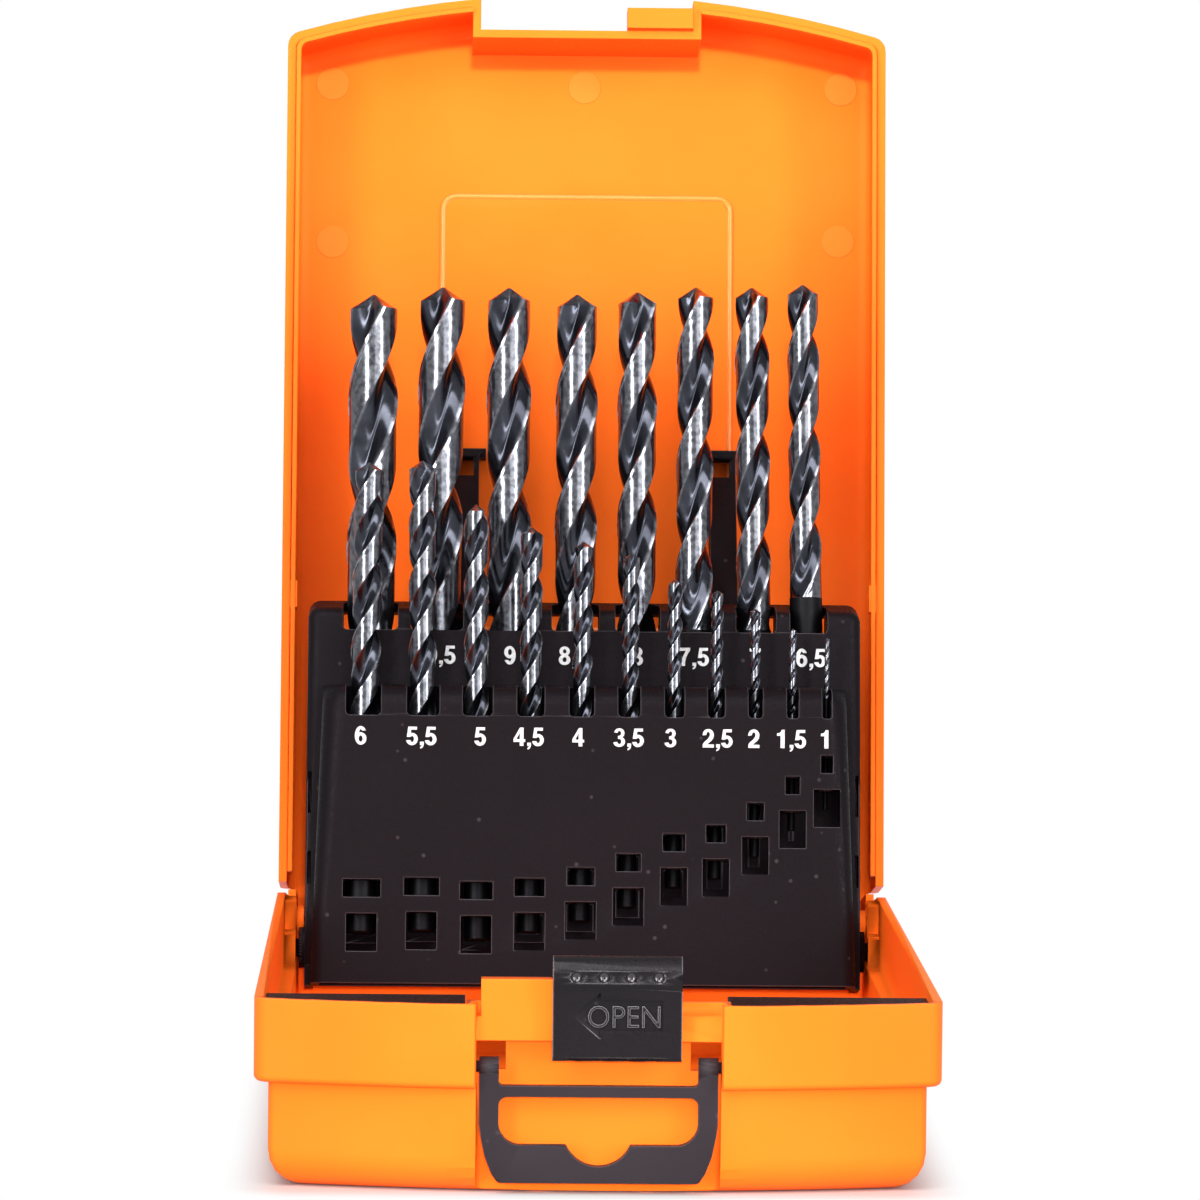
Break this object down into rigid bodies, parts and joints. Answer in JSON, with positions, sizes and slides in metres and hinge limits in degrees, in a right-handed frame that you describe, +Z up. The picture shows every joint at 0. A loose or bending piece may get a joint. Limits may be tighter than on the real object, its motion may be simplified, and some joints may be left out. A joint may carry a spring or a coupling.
{
  "type": "drill bit case",
  "caption": "Bow-fronted plastic case, standing open: hinged lid, tilting two-tier holder with fluted twist drills, sliding latch and fold-out carry handle.",
  "frame": {"origin": "middle of the base's flat underside, halfway along the closed case", "axes": "+X to the right seen from the latch, +Y to the hinge, +Z up; the case stands open"},
  "size_m": [0.1206, 0.2468, 0.2111],
  "materials": {
    "orange_plastic": "satin moulded polypropylene",
    "black_plastic": "satin moulded",
    "grey_plastic": "satin moulded",
    "drill_steel": "black steam oxide with bright ground lands"
  },
  "bodies": {
    "base": {"base_shell": "orange_plastic", "tip_guard": "black_plastic"},
    "lid": {"lid_shell": "orange_plastic"},
    "holder": {"bit_holder": "black_plastic", "front_rack": "black_plastic", "prop_arms": "black_plastic"},
    "latch": {"latch_slider": "black_plastic"},
    "handle": {"carry_handle": "grey_plastic"},
    "bit_10_0": {"bit_10_0": "drill_steel"},
    "bit_9_5": {"bit_9_5": "drill_steel"},
    "bit_9_0": {"bit_9_0": "drill_steel"},
    "bit_8_5": {"bit_8_5": "drill_steel"},
    "bit_8_0": {"bit_8_0": "drill_steel"},
    "bit_7_5": {"bit_7_5": "drill_steel"},
    "bit_7_0": {"bit_7_0": "drill_steel"},
    "bit_6_5": {"bit_6_5": "drill_steel"},
    "bit_6_0": {"bit_6_0": "drill_steel"},
    "bit_5_5": {"bit_5_5": "drill_steel"},
    "bit_5_0": {"bit_5_0": "drill_steel"},
    "bit_4_5": {"bit_4_5": "drill_steel"},
    "bit_4_0": {"bit_4_0": "drill_steel"},
    "bit_3_5": {"bit_3_5": "drill_steel"},
    "bit_3_0": {"bit_3_0": "drill_steel"},
    "bit_2_5": {"bit_2_5": "drill_steel"},
    "bit_2_0": {"bit_2_0": "drill_steel"},
    "bit_1_5": {"bit_1_5": "drill_steel"},
    "bit_1_0": {"bit_1_0": "drill_steel"}
  },
  "joints": [
    {"name": "lid_hinge", "type": "hinge", "parent": "base", "child": "lid", "pos_m": [0, 0.0912, 0.0283], "axis": [-1, 0, 0], "range_deg": [-100, 0]},
    {"name": "holder_tilt", "type": "hinge", "parent": "base", "child": "holder", "pos_m": [0, 0.0859, 0.0232], "axis": [-1, 0, 0], "range_deg": [-100, 0]},
    {"name": "latch_slide", "type": "slide", "parent": "base", "child": "latch", "axis": [-1, 0, 0], "range_m": [-0.0066, 0]},
    {"name": "handle_flip", "type": "hinge", "parent": "base", "child": "handle", "pos_m": [0, -0.0917, 0.0224], "axis": [-1, 0, 0], "range_deg": [0, 90]},
    {"name": "bit_10_0_draw", "type": "slide", "parent": "holder", "child": "bit_10_0", "axis": [0, 0.1736, 0.9848], "range_m": [0, 0.0721]},
    {"name": "bit_9_5_draw", "type": "slide", "parent": "holder", "child": "bit_9_5", "axis": [0.007, 0.1736, 0.9848], "range_m": [0, 0.0625]},
    {"name": "bit_9_0_draw", "type": "slide", "parent": "holder", "child": "bit_9_0", "axis": [-0.0052, 0.1736, 0.9848], "range_m": [0, 0.0625]},
    {"name": "bit_8_5_draw", "type": "slide", "parent": "holder", "child": "bit_8_5", "axis": [0, 0.1736, 0.9848], "range_m": [0, 0.0557]},
    {"name": "bit_8_0_draw", "type": "slide", "parent": "holder", "child": "bit_8_0", "axis": [-0.0035, 0.1736, 0.9848], "range_m": [0, 0.0551]},
    {"name": "bit_7_5_draw", "type": "slide", "parent": "holder", "child": "bit_7_5", "axis": [0.0017, 0.1736, 0.9848], "range_m": [0, 0.046]},
    {"name": "bit_7_0_draw", "type": "slide", "parent": "holder", "child": "bit_7_0", "axis": [-0.0105, 0.1736, 0.9848], "range_m": [0, 0.046]},
    {"name": "bit_6_5_draw", "type": "slide", "parent": "holder", "child": "bit_6_5", "axis": [-0.014, 0.1736, 0.9847], "range_m": [0, 0.0373]},
    {"name": "bit_6_0_draw", "type": "slide", "parent": "holder", "child": "bit_6_0", "axis": [0.0105, 0.1736, 0.9848], "range_m": [0, 0.049]},
    {"name": "bit_5_5_draw", "type": "slide", "parent": "holder", "child": "bit_5_5", "axis": [-0.0087, 0.1736, 0.9848], "range_m": [0, 0.0486]},
    {"name": "bit_5_0_draw", "type": "slide", "parent": "holder", "child": "bit_5_0", "axis": [-0.0105, 0.1736, 0.9848], "range_m": [0, 0.0502]},
    {"name": "bit_4_5_draw", "type": "slide", "parent": "holder", "child": "bit_4_5", "axis": [0, 0.1736, 0.9848], "range_m": [0, 0.0486]},
    {"name": "bit_4_0_draw", "type": "slide", "parent": "holder", "child": "bit_4_0", "axis": [0.0052, 0.1736, 0.9848], "range_m": [0, 0.0464]},
    {"name": "bit_3_5_draw", "type": "slide", "parent": "holder", "child": "bit_3_5", "axis": [0.0087, 0.1736, 0.9848], "range_m": [0, 0.0436]},
    {"name": "bit_3_0_draw", "type": "slide", "parent": "holder", "child": "bit_3_0", "axis": [0.0035, 0.1736, 0.9848], "range_m": [0, 0.0396]},
    {"name": "bit_2_5_draw", "type": "slide", "parent": "holder", "child": "bit_2_5", "axis": [0.007, 0.1736, 0.9848], "range_m": [0, 0.0378]},
    {"name": "bit_2_0_draw", "type": "slide", "parent": "holder", "child": "bit_2_0", "axis": [0.0017, 0.1736, 0.9848], "range_m": [0, 0.0334]},
    {"name": "bit_1_5_draw", "type": "slide", "parent": "holder", "child": "bit_1_5", "axis": [0.007, 0.1736, 0.9848], "range_m": [0, 0.0282]},
    {"name": "bit_1_0_draw", "type": "slide", "parent": "holder", "child": "bit_1_0", "axis": [0.0105, 0.1736, 0.9848], "range_m": [0, 0.024]}
  ],
  "couplings": [
    {"joint": "holder_tilt", "follows": "lid_hinge", "ratio": 1}
  ]
}
